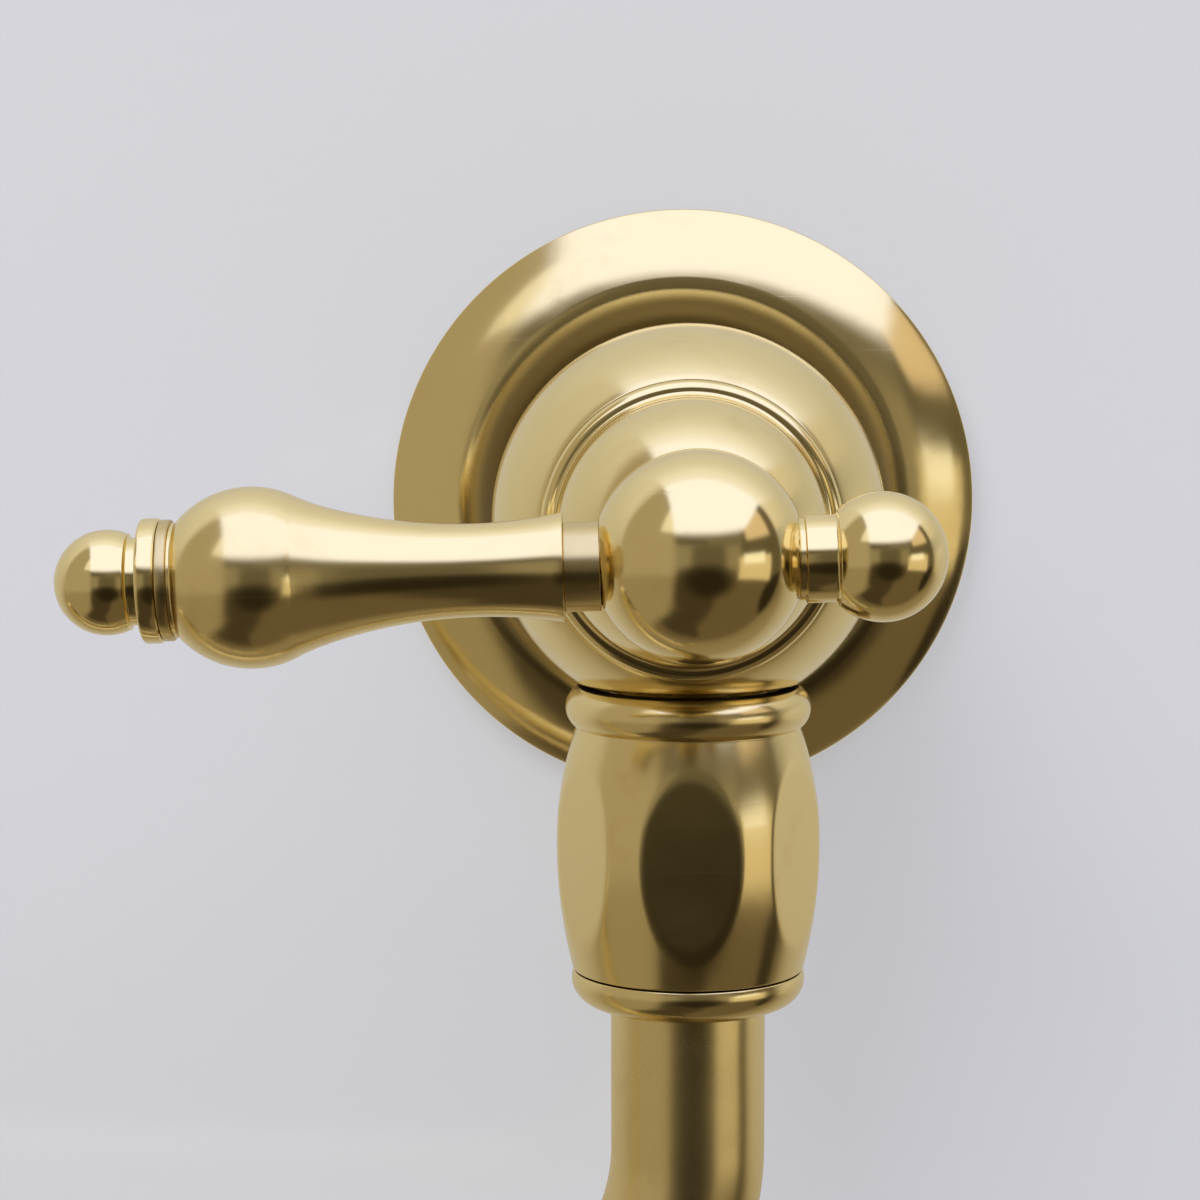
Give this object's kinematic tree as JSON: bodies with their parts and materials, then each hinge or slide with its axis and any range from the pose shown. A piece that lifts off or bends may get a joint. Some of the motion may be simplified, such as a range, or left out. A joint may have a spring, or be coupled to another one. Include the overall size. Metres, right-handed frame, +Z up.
{
  "type": "wall-mounted pot filler tap",
  "caption": "Polished brass wall tap for filling pots: round wall rose, ball valve body, side lever with a turned grip, barrel swivel nut and a jointed swing arm with a down-turned spout.",
  "frame": {"origin": "centre of the wall rose's back face, on the valve's axis", "axes": "+Z up, +Y into the wall along the inlet, +X to the right seen from the room"},
  "size_m": [0.2474, 0.1055, 0.2665],
  "materials": {
    "polished_brass": "polished, unlacquered",
    "black_rubber": "moulded",
    "white_ceramic": "lapped",
    "white_plastic": "moulded",
    "grey_plastic": "moulded"
  },
  "bodies": {
    "wall_valve": {"inlet_nipple": "polished_brass", "body_stem": "polished_brass", "wall_flange": "polished_brass", "flange_o_ring": "black_rubber", "valve_body": "polished_brass", "bonnet": "polished_brass", "cartridge_barrel": "polished_brass", "cartridge_o_ring": "black_rubber", "seat_seal": "black_rubber", "fixed_disc": "white_ceramic", "outlet_nipple": "polished_brass", "swivel_nut": "polished_brass", "swivel_end_ring": "polished_brass"},
    "lever": {"moving_disc": "white_ceramic", "spindle": "polished_brass", "spindle_o_ring": "black_rubber", "spindle_washer": "white_plastic", "hub_ball": "polished_brass", "lever_rod": "polished_brass", "lever_grip": "polished_brass", "grip_washer": "polished_brass", "grip_ring": "polished_brass", "end_finial": "polished_brass", "counter_screw": "polished_brass"},
    "first_arm": {"swivel_spigot": "polished_brass", "swivel_o_rings": "black_rubber", "swivel_washers": "white_plastic", "first_tube": "polished_brass", "elbow_ball": "polished_brass", "elbow_nipple": "polished_brass", "elbow_nut": "polished_brass", "elbow_end_ring": "polished_brass"},
    "second_arm": {"elbow_spigot": "polished_brass", "elbow_o_rings": "black_rubber", "elbow_washers": "white_plastic", "second_tube": "polished_brass", "spout_nozzle": "polished_brass", "aerator_washer": "black_rubber", "aerator_housing": "polished_brass", "aerator_insert": "grey_plastic"}
  },
  "joints": [
    {"name": "lever_turn", "type": "hinge", "parent": "wall_valve", "child": "lever", "pos_m": [0, -0.0759, 0], "axis": [0, 1, 0], "range_deg": [0, 90]},
    {"name": "arm_swing", "type": "hinge", "parent": "wall_valve", "child": "first_arm", "pos_m": [0, -0.032, -0.04], "axis": [0, 0, 1], "range_deg": [-4, 172]},
    {"name": "elbow_swing", "type": "hinge", "parent": "first_arm", "child": "second_arm", "pos_m": [-0.1989, -0.05291, -0.126], "axis": [0, 0, -1], "continuous": true}
  ]
}
